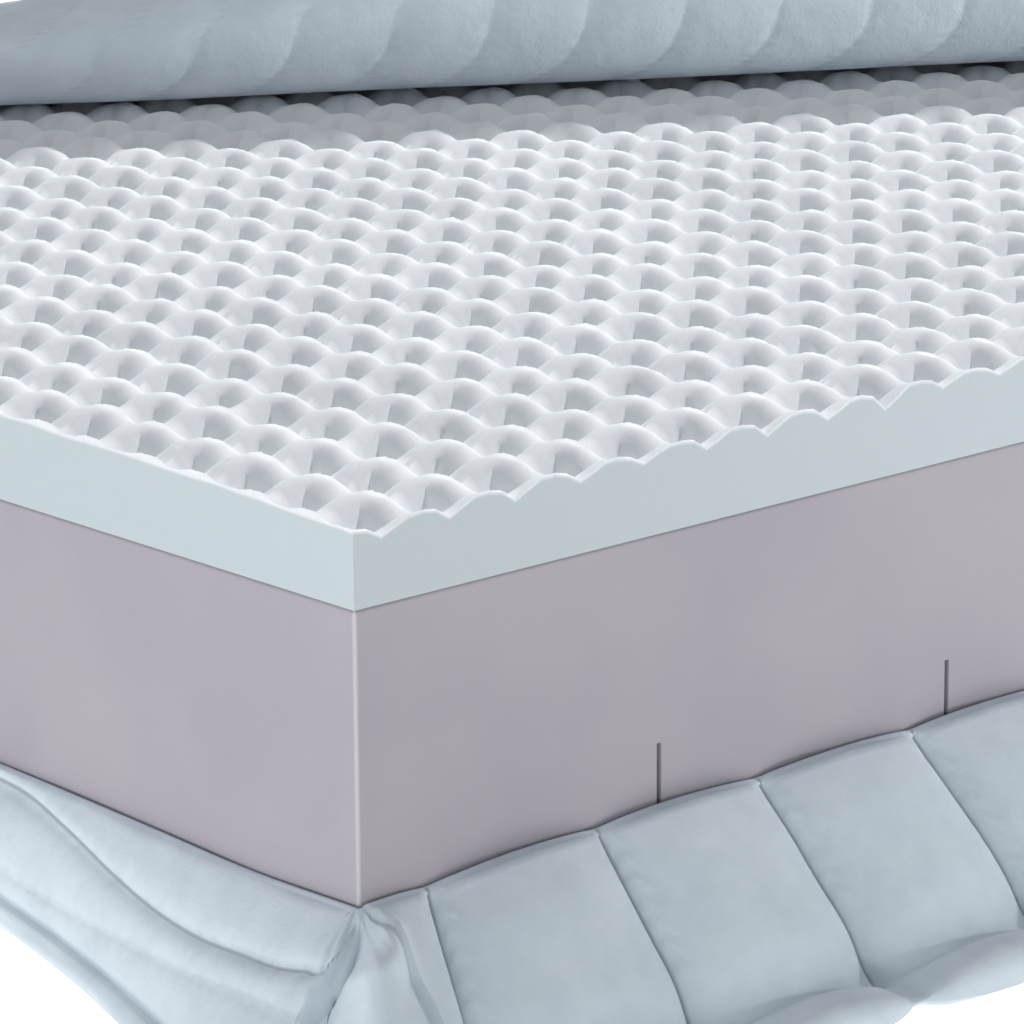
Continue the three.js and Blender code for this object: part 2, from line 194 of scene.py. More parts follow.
def addRamp(nodes, links, value, low, high):
    ramp = nodes.new("ShaderNodeMapRange")
    ramp.interpolation_type = "SMOOTHSTEP"
    ramp.inputs["From Min"].default_value = low
    ramp.inputs["From Max"].default_value = high
    links.new(value, ramp.inputs["Value"])
    return ramp.outputs["Result"]


def addMath(nodes, links, operation, first, second=None):
    node = nodes.new("ShaderNodeMath")
    node.operation = operation
    for socket, value in zip(node.inputs, (first, second)):
        if isinstance(value, (int, float)):
            socket.default_value = value
        elif value is not None:
            links.new(value, socket)
    return node.outputs["Value"]


def addAttribute(nodes, key):
    node = nodes.new("ShaderNodeAttribute")
    node.attribute_name = key
    return node.outputs["Fac"]


def addBump(nodes, links, shader, height, distance, strength=1.0):
    bump = nodes.new("ShaderNodeBump")
    bump.inputs["Strength"].default_value = strength
    bump.inputs["Distance"].default_value = distance
    links.new(height, bump.inputs["Height"])
    links.new(bump.outputs["Normal"], shader.inputs["Normal"])


# open-pored foam: cells of about a millimetre, faint cloudy tone; the upright sides are painted a darker tone as
# painted shade, and the base's upright corners get a painted highlight strip
def foamMaterial(name, g, light, deep, sideShade=None, edge=None):
    material, nodes, links, shader = newMaterial(name, 0.95)
    place = nodes.new("ShaderNodeTexCoord").outputs["Object"]
    cloud = addRamp(nodes, links, addNoise(nodes, links, place, g["cloud"], 3), *g["cloudSpan"])
    colour = addMix(nodes, links, cloud, light, deep)
    if sideShade:
        # painted shade: the upright sides take the darker side tone in place of the foam's lit tone
        colour = addMix(nodes, links, addAttribute(nodes, "shadedSide"), colour, sideShade)
    # painted highlight: a lighter strip along the four upright corner edges
    if edge:
        apart = nodes.new("ShaderNodeSeparateXYZ")
        links.new(place, apart.inputs["Vector"])
        away = [addMath(nodes, links, "ABSOLUTE", apart.outputs[axis]) for axis in ("X", "Y")]
        fromEnd = [addMath(nodes, links, "SUBTRACT", a, span / 2 * mm) for a, span in zip(away, (length, width))]
        start, end = g["highlightBand"]
        corner = addRamp(nodes, links, addMath(nodes, links, "MINIMUM", *fromEnd), start * mm, end * mm)
        colour = addMix(nodes, links, corner, colour, edge)
    links.new(colour, shader.inputs["Base Color"])
    pores = addNoise(nodes, links, place, g["pores"], 2, 0.6)
    wander = addNoise(nodes, links, place, g["wander"], 2)
    height = addMath(nodes, links, "ADD", addMath(nodes, links, "MULTIPLY", pores, g["poreShare"]), wander)
    addBump(nodes, links, shader, height, g["depth"] * mm, 0.6)
    return material


# brushed knit: faint mottle and pile, a sewn line where the distance to a seam is nothing, and small
# puckers beside it that follow the length along the seam
def clothMaterial(name, g, light, deep, thread):
    material, nodes, links, shader = newMaterial(name, 0.85)
    shader.inputs["Sheen Weight"].default_value = 0.2
    shader.inputs["Sheen Roughness"].default_value = 0.5
    place = nodes.new("ShaderNodeTexCoord").outputs["Object"]
    fromSeam, alongSeam = (addAttribute(nodes, key) for key in ("seamDistance", "alongSeam"))
    mottle = addRamp(nodes, links, addNoise(nodes, links, place, g["mottle"], 4, 0.6), *g["mottleSpan"])
    colour = addMix(nodes, links, mottle, light, deep)
    sewn = addRamp(nodes, links, fromSeam, *g["sewnLine"])
    links.new(addMix(nodes, links, sewn, colour, thread), shader.inputs["Base Color"])
    pile = addNoise(nodes, links, place, g["pile"], 2, 0.6)
    rumple = addNoise(nodes, links, place, g["rumple"], 3)
    height = addMath(nodes, links, "ADD", addMath(nodes, links, "MULTIPLY", pile, g["pileShare"]), rumple)
    scale, much = g["puckerWander"]
    wander = addMath(nodes, links, "MULTIPLY", addNoise(nodes, links, place, scale, 2), much)
    wave = addMath(nodes, links, "MULTIPLY", alongSeam, g["puckerWave"])
    ripple = addMath(nodes, links, "SINE", addMath(nodes, links, "ADD", wave, wander))
    pucker = addMath(nodes, links, "MULTIPLY", ripple, addRamp(nodes, links, fromSeam, g["puckerReach"], 0))
    height = addMath(nodes, links, "ADD", height, addMath(nodes, links, "MULTIPLY", pucker, g["puckerShare"]))
    addBump(nodes, links, shader, height, g["depth"] * mm, 0.6)
    return material


whiteFoam = foamMaterial("whiteFoam", foamGrain, **finishes["whiteFoam"])
greyFoam = foamMaterial("greyFoam", foamGrain, **finishes["baseFoam"])
quiltedCloth = clothMaterial("quiltedCloth", knitGrain, **finishes["cloth"])
print("materials made")


# slits of the base, in millimetres
baseBlock = {
    "slitWidth": 2.5,
    "slitHeight": 95,
    "slitFirst": 155,
    "slitPitch": 163.5,
    "slitCount": 11,
    "edgeRound": 1.6,
}


# comb-shaped outline carried across the mattress, the slits open at the underside
def baseFoam(s):
    low, high = baseLow[2], baseHigh[2]
    middles = baseLow[0] + s["slitFirst"] + s["slitPitch"] * np.arange(s["slitCount"])
    half = s["slitWidth"] / 2
    slitX = (middles[:, None] + np.array([-half, -half, half, half])).ravel()
    slitZ = np.tile(low + np.array([0, s["slitHeight"], s["slitHeight"], 0]), s["slitCount"])
    x = np.concatenate([[baseLow[0]], slitX, [baseHigh[0], baseHigh[0], baseLow[0]]])
    z = np.concatenate([[low], slitZ, [low, high, high]])
    count = len(x)
    points = np.concatenate([np.stack([x, np.full(count, y), z], -1) for y in (baseLow[1], baseHigh[1])])
    ring = np.arange(count + 1) % count
    sides = stripQuads(ring, ring + count)[:, [0, 3, 2, 1]]
    faces = [*sides.tolist(), list(range(count)), list(range(2 * count - 1, count - 1, -1))]
    piece = makePiece("baseFoam", points, faces, greyFoam)
    mesh = piece.data
    ends = np.empty(2 * len(mesh.edges), int)
    mesh.edges.foreach_get("vertices", ends)
    one, other = points[ends[0::2]], points[ends[1::2]]
    onCorner = lambda p: np.isclose(np.abs(p[:, 0]), length / 2) & np.isclose(np.abs(p[:, 1]), width / 2)
    outer = onCorner(one) & onCorner(other) & ((one[:, 2] + other[:, 2]) > 2 * low + 1)
    mesh.attributes.new("bevel_weight_edge", "FLOAT", "EDGE").data.foreach_set("value", outer.astype(np.float32))
    mesh.attributes.new("sharp_edge", "BOOLEAN", "EDGE").data.foreach_set("value", ~outer)
    bevel = piece.modifiers.new("sawnEdges", "BEVEL")
    bevel.limit_method = "WEIGHT"
    bevel.width = s["edgeRound"] * mm
    bevel.segments = 3
    bevel.harden_normals = True
    return piece


dress(baseFoam(baseBlock), "base_foam")


# pits of the top layer, in millimetres or as shares of half a pit
pitLayer = {
    "columns": 60,
    "rows": 27,
    "columnAlternation": 0.03,
    "rowAlternation": 0.08,
    "wideDepth": 18.5,
    "narrowDepth": 15.5,
    "depthSpread": (0.92, 1.05),
    "bulge": 0.5,  # ridges stand this much above their crossings
    "bulgeEdge": 12,  # but not nearer than this to the sawn sides
    "dip": 6.0,  # notch in each ridge along the mattress, and where it lies between two crossings
    "dipMiddle": -0.1,
    "dipBreadth": 0.38,
    "dipChange": (0.35, 40),  # share by which dips vary, and over what distance
    "dipEdge": 6,
    "crossDip": 4.8,  # the same for each ridge across the mattress
    "crossMiddle": -0.5,
    "crossBreadth": 0.42,
    "wallShare": 0.45,  # of the way up to the ridge the wall is flat, then it rounds over
    "cutDip": 1.2,  # dips of the sawn near edge
    "cutSpread": (0.3, 1.3),
    "cutMiddle": (-0.45, -0.2),
    "cutBreadth": 0.33,
    "cutReach": 5,
    "unevenness": [(3, 0.6, 23), (4, 0.2, 5)],  # seed, height, size
    "cornerDroop": 6.5,
    "droopReach": 130,
    "seat": 0.05,
    "sideSamples": 5,
    "sideLevels": (0, 0.05, 0.2, 0.45, 0.75, 1.0),  # rings down the sawn sides
    # pits before the roll are fine: their columns, and rows lost from one column to the next
    "fineColumns": 26,
    "fineRows": (29, 0.6),
    "fineRings": (1, 0.93, 0.84, 0.72, 0.55, 0.28),  # rings of a pit, as shares from its middle to the ridge
    "plainRings": (1, 0.8),
}


# ridge lines across a span, wide and narrow cells in turn
def ridgeLines(count, span, alternation):
    steps = 1 + alternation * np.where(np.arange(count) % 2 == 0, 1, -1)
    lines = np.concatenate([[0], np.cumsum(steps)])
    return (lines / lines[-1] - 0.5) * span


# pits of four flat walls as square rings round their middles: the wall climbs evenly with the ring's
# share and rounds over at the ridge; each ridge dips by a bell curve between two crossings, less so
# across the mattress; the near edge is sawn in bell-shaped dips, and the opened corner sinks
def convolutedFoam(s):
    xs = ridgeLines(s["columns"], length, s["columnAlternation"])
    ys = ridgeLines(s["rows"], width, s["rowAlternation"])
    n = s["sideSamples"]
    t, one = np.linspace(-1, 1, n + 1)[:-1], np.ones(n)
    aroundX, aroundY = np.concatenate([t, one, -t, -one]), np.concatenate([-one, t, one, -t])
    random = np.random.default_rng(7)
    depths = np.where(np.arange(s["rows"]) % 2 == 0, s["wideDepth"], s["narrowDepth"])
    depths = depths * random.uniform(*s["depthSpread"], (s["columns"], s["rows"]))
    notchDepth = s["cutDip"] * random.uniform(*s["cutSpread"], s["columns"])
    notchMiddle = random.uniform(*s["cutMiddle"], s["columns"])
    wall = s["wallShare"]

    def rise(m):
        rounded = m - np.maximum(m - wall, 0) ** 2 / (2 * (1 - wall))
        return rounded / (1 - (1 - wall) / 2)

    bell = lambda value, middle, breadth: np.exp(-(((value - middle) / breadth) ** 2))

    def heights(x, y, a, b, m, depth, notch, middle):
        fromFoot, fromNear = x + length / 2, y + width / 2
        inside = np.minimum(np.minimum(fromFoot, length - fromFoot), np.minimum(fromNear, width - fromNear))
        between = np.cos(np.pi / 2 * np.minimum(np.abs(a), np.abs(b))) ** 2 * rise(m) ** 3
        z = foamTop - depth * (1 - rise(m)) - s["bulge"] * (1 - between * easedStep(0, s["bulgeEdge"], inside))
        across = np.clip(a / np.maximum(m, 0.05), -1, 1)
        much, size = s["dipChange"]
        dip = s["dip"] * (1 + much * softNoise(5, x / size, y / size)) * bell(across, s["dipMiddle"], s["dipBreadth"])
        z -= dip * rise(m) ** 3 * easedStep(0, s["dipEdge"], length - fromFoot)
        down = np.clip(b / np.maximum(m, 0.05), -1, 1)
        crossDip = s["crossDip"] * (1 - down**2) * bell(down, s["crossMiddle"], s["crossBreadth"])
        z -= crossDip * rise(m) ** 3 * easedStep(0, s["dipEdge"], np.minimum(fromFoot, length - fromFoot))
        z -= notch * bell(a, middle, s["cutBreadth"]) * np.exp(-fromNear / s["cutReach"])
        for seed, height, size in s["unevenness"]:
            z += height * softNoise(seed, x / size, y / size)
        return z - s["cornerDroop"] * np.exp(-np.hypot(fromFoot, fromNear) / s["droopReach"])

    points, faces, count = [], [], 0
    allColumns, allRows = (g.ravel() for g in np.meshgrid(range(s["columns"]), range(s["rows"]), indexing="ij"))
    isFine = (allColumns < s["fineColumns"]) & (allRows < s["fineRows"][0] - s["fineRows"][1] * allColumns)
    for chosen, shares in ((isFine, s["fineRings"]), (~isFine, s["plainRings"])):
        i, j = allColumns[chosen], allRows[chosen]
        m = np.append(np.repeat(shares, 4 * n), 0)[None, :]
        a = np.append(np.outer(shares, aroundX), 0)[None, :] * np.ones((len(i), 1))
        b = np.append(np.outer(shares, aroundY), 0)[None, :] * np.ones((len(i), 1))
        x = ((xs[i] + xs[i + 1]) / 2)[:, None] + a * ((xs[i + 1] - xs[i]) / 2)[:, None]
        y = ((ys[j] + ys[j + 1]) / 2)[:, None] + b * ((ys[j + 1] - ys[j]) / 2)[:, None]
        z = heights(x, y, a, b, m, depths[i, j][:, None], notchDepth[i][:, None], notchMiddle[i][:, None])
        points.append(np.stack([x, y, z], -1).reshape(-1, 3))
        each = len(shares) * 4 * n + 1
        ring = np.arange(4 * n)
        after = (ring + 1) % (4 * n)
        starts = count + each * np.arange(len(i))
        for r in range(len(shares) - 1):
            quads = np.stack([r * 4 * n + ring, r * 4 * n + after, (r + 1) * 4 * n + after, (r + 1) * 4 * n + ring], -1)
            faces += (starts[:, None, None] + quads).reshape(-1, 4).tolist()
        last = (len(shares) - 1) * 4 * n
        fan = np.stack([last + ring, last + after, np.full(4 * n, each - 1)], -1)
        faces += (starts[:, None, None] + fan).reshape(-1, 3).tolist()
        count += each * len(i)
    top = np.concatenate(points)
    # rim once round, then rings of the sawn sides down to the underside
    sampled = lambda lines: np.append((lines[:-1, None] + np.diff(lines)[:, None] * (t + 1) / 2).ravel(), lines[-1])
    u, v = sampled(xs), sampled(ys)
    flat = np.full
    path = np.concatenate([
        np.stack([u[:-1], flat(len(u) - 1, ys[0])], -1), np.stack([flat(len(v) - 1, xs[-1]), v[:-1]], -1),
        np.stack([u[:0:-1], flat(len(u) - 1, ys[-1])], -1), np.stack([flat(len(v) - 1, xs[0]), v[:0:-1]], -1)])
    column = np.clip(np.searchsorted(xs, path[:, 0] - 1e-6) - 1, 0, s["columns"] - 1)
    row = np.clip(np.searchsorted(ys, path[:, 1] - 1e-6) - 1, 0, s["rows"] - 1)
    a = 2 * (path[:, 0] - xs[column]) / (xs[column + 1] - xs[column]) - 1
    b = 2 * (path[:, 1] - ys[row]) / (ys[row + 1] - ys[row]) - 1
    rimZ = heights(path[:, 0], path[:, 1], a, b, np.ones(len(path)), 0, notchDepth[column], notchMiddle[column])
    levels = np.array(s["sideLevels"])
    low = baseHigh[2] + s["seat"]
    sides = np.concatenate([np.column_stack([path, rimZ + level * (low - rimZ)]) for level in levels])
    steps = len(path)
    for k in range(len(levels) - 1):
        upper = count + k * steps + np.arange(steps + 1) % steps
        faces += stripQuads(upper + steps, upper).tolist()
    faces.append((count + (len(levels) - 1) * steps + np.arange(steps)[::-1]).tolist())
    # painted shade mask: 0 on the pitted top, rising to 1 on the upright sides
    shadedSideMask = np.concatenate([np.zeros(count), np.repeat(easedStep(0, levels[1], levels), steps)])
    return makePiece("convolutedFoam", np.concatenate([top, sides]), faces, whiteFoam, {"shadedSide": shadedSideMask}, 58, 0.15)


dress(convolutedFoam(pitLayer), "convoluted_foam")


# opened lower cover, in millimetres
tray = {
    "cloth": 9,
    "rim": 5,  # thickness of the hemmed free edge
    "sideGap": 0.6,
    "foldHeight": 15,
    "pressedFold": 8,  # height of the fold where the near side lies pressed
    "foldShare": 0.76,
    "floorInset": 20,
    "channel": 88,
    "firstSeam": 31,
    "crown": 10.0,
    "seam": 4.0,
    # place along the near side, how far a seam shifts along it on its way down
    "seamLean": [(0, -16), (31, -23), (119, 1), (207, 9), (295, 15), (500, 15), (1300, 8), (1860, 0), (2000, 0)],
    "creaseDepth": 5,
    "hemDepth": 3.5,
    # place along the side, reach of the fold, its lift off the floor, height of the free edge
    "nearSide": [(0, 73, 0, 74), (60, 73, 0, 76), (120, 74, 0, 78), (210, 75, 0, 79), (300, 74, 1, 80),
                 (400, 72, 5, 81), (650, 71, 3, 82), (1300, 62, 0, 82), (1650, 26, 2, 78), (1860, 0, 0, 73),
                 (2000, 0, 0, 73)],
    "footSide": [(0, 73, 0, 74), (60, 42, 3, 73), (120, 25, 9, 75), (210, 14, 20, 78), (550, 13, 13, 78),
                 (900, 8, 4, 73)],
    "farSide": [(0, 8, 4, 73), (400, 0, 0, 73), (2000, 0, 0, 73)],
    "headSide": [(0, 0, 0, 73), (900, 0, 0, 73)],
    # foot side: place from the near corner, then how far up the border its upper and lower seams lie
    "footSeams": [(0, 0.67, 0.45), (13, 0.63, 0.44), (41, 0.59, 0.39), (70, 0.55, 0.33), (105, 0.57, 0.28),
                  (130, 0.64, 0.24), (168, 0.8, 0.2), (200, 0.92, 0.21), (225, 0.94, 0.25), (300, 0.94, 0.35),
                  (500, 0.93, 0.5), (900, 0.93, 0.5)],
    "pressedReach": (25, 60),  # a border that leans out this far lies pressed on the floor
    "hemEnds": (240, 330),  # the hem at the foot fades out here
    "endSwell": (5, 1.5),  # roundness of the end borders, and how far they stand out all over
    "upperSeam": (4.5, 4),  # depth and breadth
    "lowerSeam": (2.2, 6),
    "gather": (1.6, 6),  # height of the gathers at the corners, and their waves
    "rumple": (0.7, 34),  # height, size
    "sectionSamples": (3, 4, 5, 7, 27, 4, 3, 3, 3, 2, 2),  # from one control point of the section to the next
    # opened corner, as shares of its quarter turn: piped seam, crease beside it, and a full fold
    "piping": {"at": 0.29, "rise": 0.55, "from": 0.68, "breadth": 0.032, "height": 6.5},
    "crease": {"at": 0.37, "rise": 0.7, "from": 0.59, "breadth": 0.036, "depth": 5},
    "fold": {"at": 0.78, "rise": 1.0, "from": 0.73, "least": 0.6, "breadth": 0.24, "height": 18},
}
places = {
    "fineChannel": (0, 1.5, 4, 8, 13, 20, 30, 44, 58, 68, 75, 80, 84, 86.5),
    "plainChannel": (0, 4, 14, 29, 44, 59, 74, 84),
    "fineChannels": 5,
}


# curve through control points of many sections at once; a point's slope comes from its neighbours
def sampleChain(controls, counts):
    before = np.concatenate([controls[:, :1], controls[:, :-1]], 1)
    after = np.concatenate([controls[:, 1:], controls[:, -1:]], 1)
    gap = np.linalg.norm(controls[:, 1:] - controls[:, :-1], axis=2)
    gapBefore = np.concatenate([gap[:, :1] * 0, gap], 1)
    gapAfter = np.concatenate([gap, gap[:, :1] * 0], 1)
    slope = (after - before) / np.maximum(gapBefore + gapAfter, 1e-6)[..., None]
    made = []
    for k, n in enumerate(counts):
        t = (np.arange(n) / n)[None, :, None]
        p, q = controls[:, k : k + 1], controls[:, k + 1 : k + 2]
        reach = gap[:, k, None, None]
        mp, mq = slope[:, k : k + 1] * reach, slope[:, k + 1 : k + 2] * reach
        made.append((2 * t**3 - 3 * t**2 + 1) * p + (t**3 - 2 * t**2 + t) * mp
                    + (3 * t**2 - 2 * t**3) * q + (t**3 - t**2) * mq)
    return np.concatenate([*made, controls[:, -1:]], 1)


# cloth between two seams: steep beside the seam, then one even dome; shares of the full height
def pillow(phase, channel):
    fromSeam = np.minimum(phase, 1 - phase) * channel
    return 0.4 * (1 - np.exp(-fromSeam / 4)) + 0.6 * np.sin(np.pi * phase)


# stations once round the mattress: place, way out, slump from the side tables, kind of side
def trayStations(s):
    channels = int((length - s["firstSeam"]) // s["channel"])
    starts = s["firstSeam"] + s["channel"] * np.arange(channels)
    plain = (starts[:, None] + np.array(places["plainChannel"])).ravel()
    fine = (starts[: places["fineChannels"], None] + np.array(places["fineChannel"])).ravel()
    near = np.concatenate([np.linspace(0, s["firstSeam"], 20)[1:-1], fine, plain[plain > fine[-1]]])
    far = np.concatenate([[12, 25], plain])
    foot = np.concatenate([np.arange(3, 300, 3), np.arange(300, 890, 12)])
    sides = [
        ("corner", -length / 2, -width / 2, np.linspace(-np.pi, -np.pi / 2, 73), "footSide", 0),
        ("near", None, -width / 2, near, "nearSide", -np.pi / 2),
        ("corner", length / 2, -width / 2, np.linspace(-np.pi / 2, 0, 9), "headSide", 0),
        ("head", length / 2, None, np.arange(15, width, 15), "headSide", 0.0),
        ("corner", length / 2, width / 2, np.linspace(0, np.pi / 2, 9), "headSide", 900),
        ("far", None, width / 2, far[::-1], "farSide", np.pi / 2),
        ("corner", -length / 2, width / 2, np.linspace(np.pi / 2, np.pi, 11), "footSide", 900),
        ("foot", -length / 2, None, foot[::-1], "footSide", np.pi),
    ]
    rows = []
    for kind, x, y, along, table, value in sides:
        ones = np.ones(len(along))
        if kind == "corner":
            place, turn, atX, atY = value * ones, along, x * ones, y * ones
        else:
            place, turn = along, value * ones
            atX = along - length / 2 if x is None else x * ones
            atY = along - width / 2 if y is None else y * ones
        slump = [np.maximum(smoothTable(s[table], place, column), 0) for column in (1, 2, 3)]
        longSide, endSide = (kind in ("near", "far")) * ones, (kind in ("head", "foot")) * ones
        # corner coordinate of the opened corner: 0 to 1 round the turn, then 1 to 2 up to the first seam
        opened = -ones
        if table == "footSide" and kind == "corner" and value == 0:
            opened = (turn + np.pi) / (np.pi / 2)
        if kind == "near":
            opened = 1 + place / s["firstSeam"]
        outwards = np.cos(turn), np.sin(turn)
        rows.append(np.stack([atX, atY, *outwards, *slump, longSide, endSide, opened, place, turn], -1))
    return np.concatenate(rows)


# sections carried once round: floor, pressed fold, slanted border, free edge and back down inside;
# cloth swells between seams across the long sides and along the ends, and gathers at the corners
def lowerCover(s):
    atX, atY, outX, outY, reach, lift, edge, longSide, endSide, opened, place, turn = trayStations(s).T
    t, g = s["cloth"], s["sideGap"]
    pressed = longSide * easedStep(*s["pressedReach"], reach)
    pressed = np.where((opened >= 0) & (opened <= 1), easedStep(0.4, 1, opened), pressed)
    fold = s["foldHeight"] + (s["pressedFold"] - s["foldHeight"]) * pressed
    foldOut, foldUp = g + s["foldShare"] * reach + t, lift + fold
    rim = s["rim"]
    rimOut, rimUp = g + rim, edge - rim / 3
    span = np.stack([rimOut - foldOut, rimUp - foldUp], -1)
    border = np.linalg.norm(span, axis=1)
    awayX, awayZ = span[:, 1] / border, -span[:, 0] / border
    at = lambda share: (foldOut + share * (rimOut - foldOut), foldUp + share * (rimUp - foldUp))
    midX, midZ = at(0.5)
    flat = np.zeros_like(reach)
    chain = [
        (flat - s["floorInset"], flat), (g + 0.6 * (reach + t), 0.75 * lift), (g + reach + 0.75 * t, lift + 2),
        (g + reach + t, lift + fold / 2), (foldOut, foldUp), at(1.0),
        (flat + g + rim / 3, edge), (flat + g, edge - rim / 5),
        (np.maximum(midX - t * awayX, g), midZ - t * awayZ),
        (np.maximum(0.72 * reach - t / 3, g), lift + t + 3.5),
        (np.maximum(0.66 * reach - t / 2, g), lift + t + 1), (flat + g, flat + t),
    ]
    controls = np.stack([np.stack(np.broadcast_arrays(u, w), -1) for u, w in chain], 1)
    section = sampleChain(controls, s["sectionSamples"])
    start = np.concatenate([[0], np.cumsum(s["sectionSamples"])])
    # control number along the section: 4 at the fold, 5 at the rim, 6 on the free edge
    level = np.interp(np.arange(section.shape[1]), start, np.arange(len(start)))[None, :]
    # heights up the slanted border, gathered so that grid lines run along the seams of the ends
    onFoot = endSide * (turn > 3) + (opened >= 0) * (opened <= 1) * (1 - easedStep(0.24, 0.36, opened))
    upper, lower = (smoothTable(s["footSeams"], place, column) for column in (1, 2))
    upper = np.where(onFoot > 0, upper, 2 / 3)[:, None]
    lower = np.where(onFoot > 0, lower, 1 / 3)[:, None]
    share = np.clip(level - 4, 0, 1)
    up = np.where(share < 1 / 3, 3 * share * lower, np.where(share < 2 / 3, lower + (3 * share - 1) * (upper - lower),
                                                             upper + (3 * share - 2) * (1 - upper)))
    first, last = start[4], start[5] + 1
    climb = lambda a, b: a[:, None] + up * (b - a)[:, None]
    line = np.stack([climb(foldOut, rimOut), climb(foldUp, rimUp)], -1)
    section[:, first:last] = line[:, first:last]
    tangent = np.gradient(section, axis=1)
    tangent /= np.maximum(np.linalg.norm(tangent, axis=2), 1e-6)[..., None]
    normal = np.stack([tangent[..., 1], -tangent[..., 0]], -1)
    swell = easedStep(1.6, 3.0, level) * (1 - 0.8 * easedStep(4.72, 5.35, level) - 0.2 * easedStep(6, 6.8, level))
    full = s["crown"] + s["seam"]
    # long sides: channels from seam to seam
    phase = (((place - s["firstSeam"]) / s["channel"]) % 1.0)[:, None]
    across = full * pillow(phase, s["channel"]) - s["seam"]
    # ends: a crisp upper seam and a softer lower one, the border rounded out between them
    drop = lambda seam, breadth: np.exp(-np.abs(up - seam) * border[:, None] / breadth)
    (deep, broad), (lowDeep, lowBroad) = s["upperSeam"], s["lowerSeam"]
    ends = s["endSwell"][0] * np.sin(np.pi * up) ** 0.7 - deep * drop(upper, broad) - lowDeep * drop(lower, lowBroad)
    ends = ends + s["endSwell"][1]
    # corners: light gathers, and at the opened one a piped seam, a crease and a full fold
    much, waves = s["gather"]
    gather = much * np.sin(waves * turn)[:, None] * np.ones_like(up)
    isOpen = (opened >= 0)[:, None] * (opened < 2)[:, None]
    q = opened[:, None]
    pipe, crease, bulge = s["piping"], s["crease"], s["fold"]
    below = 1 - easedStep(0.88, 0.97, up)
    run = lambda line: line["at"] + line["rise"] * np.maximum(up - line["from"], -0.1)
    ridge = np.maximum(run(bulge), bulge["least"])
    corner = bulge["height"] * np.exp(-(((q - ridge) / bulge["breadth"]) ** 2))
    corner = corner + below * pipe["height"] * np.exp(-(((q - run(pipe)) / pipe["breadth"]) ** 2))
    corner = corner - below * crease["depth"] * np.exp(-(((q - run(crease)) / crease["breadth"]) ** 2))
    corner = corner * np.minimum(1, 0.4 + 1.8 * (1 - up)) * (1 - easedStep(0.88, 1, up)) * isOpen * easedStep(2, 1.6, q)
    isLong, isEnd = longSide[:, None], np.maximum(endSide, onFoot)[:, None]
    firstPart = isLong * (opened < 2)[:, None]
    across = np.where(firstPart > 0, (full * 0.7) * (1 - np.exp(-(2 - q) * s["firstSeam"] / 5)) - s["seam"], across)
    puff = isLong * across + isEnd * ends + np.clip(1 - isLong - isEnd, 0, 1) * np.where(isOpen, 0.5, gather) + corner
    puff = np.where(level < 3.9, np.maximum(puff, 0.5), puff)
    much, size = s["rumple"]
    puff = puff + much * softNoise(11, place[:, None] / size + 9 * turn[:, None], level * 4)
    press = s["creaseDepth"] * pressed[:, None] * np.exp(-(((level - 4.06) / 0.16) ** 2))
    hem = onFoot * (1 - easedStep(*s["hemEnds"], place))
    press = press + s["hemDepth"] * hem[:, None] * np.exp(-(((level - 3.8) / 0.14) ** 2))
    section = section + normal * (puff * swell - press)[..., None]
    section[..., 1] = np.maximum(section[..., 1], 0)
    lean = np.interp(place, *np.array(s["seamLean"]).T)[:, None] * (1 - up) * isLong * (turn < 0)[:, None]
    lean = lean * easedStep(1, 3, level) * (1 - easedStep(5, 6, level)) * easedStep(0, s["firstSeam"], place)[:, None]
    x = atX[:, None] + outX[:, None] * section[..., 0] + lean
    y = atY[:, None] + outY[:, None] * section[..., 0]
    inset = s["floorInset"]
    x[:, 0] = np.clip(atX, inset - length / 2, length / 2 - inset)
    y[:, 0] = np.clip(atY, inset - width / 2, width / 2 - inset)
    points = np.stack([x, y, section[..., 1]], -1)
    run = np.cumsum(np.linalg.norm(np.gradient(section, axis=1), axis=2), 1)
    fromSeam = np.minimum(phase, 1 - phase) * s["channel"] + 0 * up
    fromLevelSeam = np.minimum(np.abs(up - upper), np.abs(up - lower) + 0.03) * border[:, None]
    shown = (level > 3.8) * (level < 6.3)
    onEnd = np.where(isEnd > 0, fromLevelSeam + 12 * (1 - isEnd), 40)
    fromSeam = np.where(isLong > 0, fromSeam, onEnd) + 40 * (1 - shown)
    fromSeam = np.where(firstPart > 0, (2 - q) * s["firstSeam"] + 0 * up, fromSeam)
    alongSeam = np.where(isLong > 0, run, place[:, None] + 0 * up)
    rows, columns = points.shape[:2]
    number = np.arange(rows * columns).reshape(rows, columns)
    closedRows = np.concatenate([number, number[:1]])
    quads = np.concatenate([stripQuads(closedRows[:, k], closedRows[:, k + 1]) for k in range(columns - 1)])
    faces = quads.tolist() + [number[::-1, 0].tolist(), number[:, -1].tolist()]
    values = {"seamDistance": fromSeam, "alongSeam": alongSeam}
    return makePiece("lowerCover", points.reshape(-1, 3), faces, quiltedCloth, values, merge=0.02)


dress(lowerCover(tray), "lower_cover")


